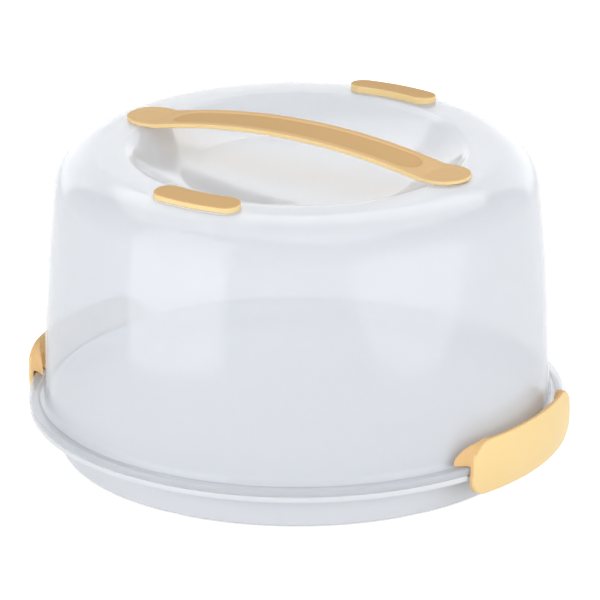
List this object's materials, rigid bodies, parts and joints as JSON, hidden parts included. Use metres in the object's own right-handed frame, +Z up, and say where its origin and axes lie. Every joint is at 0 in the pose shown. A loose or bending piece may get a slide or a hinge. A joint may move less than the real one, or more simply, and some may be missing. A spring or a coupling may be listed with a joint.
{
  "type": "cake carrier",
  "caption": "Round cake carrier: a footed tray, a high milky domed lid that lifts off, a carrying strap over a finger dish, grip pads and hinged side clips that hold the lid down.",
  "frame": {"origin": "on the table under the middle of the tray, at the bottom centre of the closed carrier's bounding box", "axes": "+Z up; the carrying strap and the two side clips lie along X; the two grip pads lie along Y"},
  "size_m": [0.3508, 0.34, 0.2092],
  "materials": {
    "tray_plastic": "white polypropylene, satin gloss",
    "lid_plastic": "milky translucent polypropylene, glossy",
    "butter_plastic": "butter yellow polypropylene, satin",
    "foot_rubber": "pale grey thermoplastic rubber, matt",
    "pin_plastic": "natural acetal, satin"
  },
  "bodies": {
    "base": {"base_tray": "tray_plastic", "foot_1": "foot_rubber", "foot_2": "foot_rubber", "foot_3": "foot_rubber", "foot_4": "foot_rubber", "foot_5": "foot_rubber", "foot_6": "foot_rubber", "clip_pin_right_a": "pin_plastic", "clip_pin_right_b": "pin_plastic", "clip_pin_left_a": "pin_plastic", "clip_pin_left_b": "pin_plastic"},
    "lid": {"lid_dome": "lid_plastic", "carry_handle": "butter_plastic", "handle_cap_right": "pin_plastic", "handle_cap_left": "pin_plastic", "grip_pad_front": "butter_plastic", "grip_pad_back": "butter_plastic"},
    "clip_right": {"clip_right": "butter_plastic"},
    "clip_left": {"clip_left": "butter_plastic"}
  },
  "joints": [
    {"name": "lid_lift", "type": "slide", "parent": "base", "child": "lid", "axis": [0, 0, 1], "range_m": [0, 0.2]},
    {"name": "clip_right_hinge", "type": "hinge", "parent": "base", "child": "clip_right", "pos_m": [0.1665, 0, 0.0195], "axis": [0, 1, 0], "range_deg": [0, 95]},
    {"name": "clip_left_hinge", "type": "hinge", "parent": "base", "child": "clip_left", "pos_m": [-0.1665, 0, 0.0195], "axis": [0, -1, 0], "range_deg": [0, 95]}
  ]
}
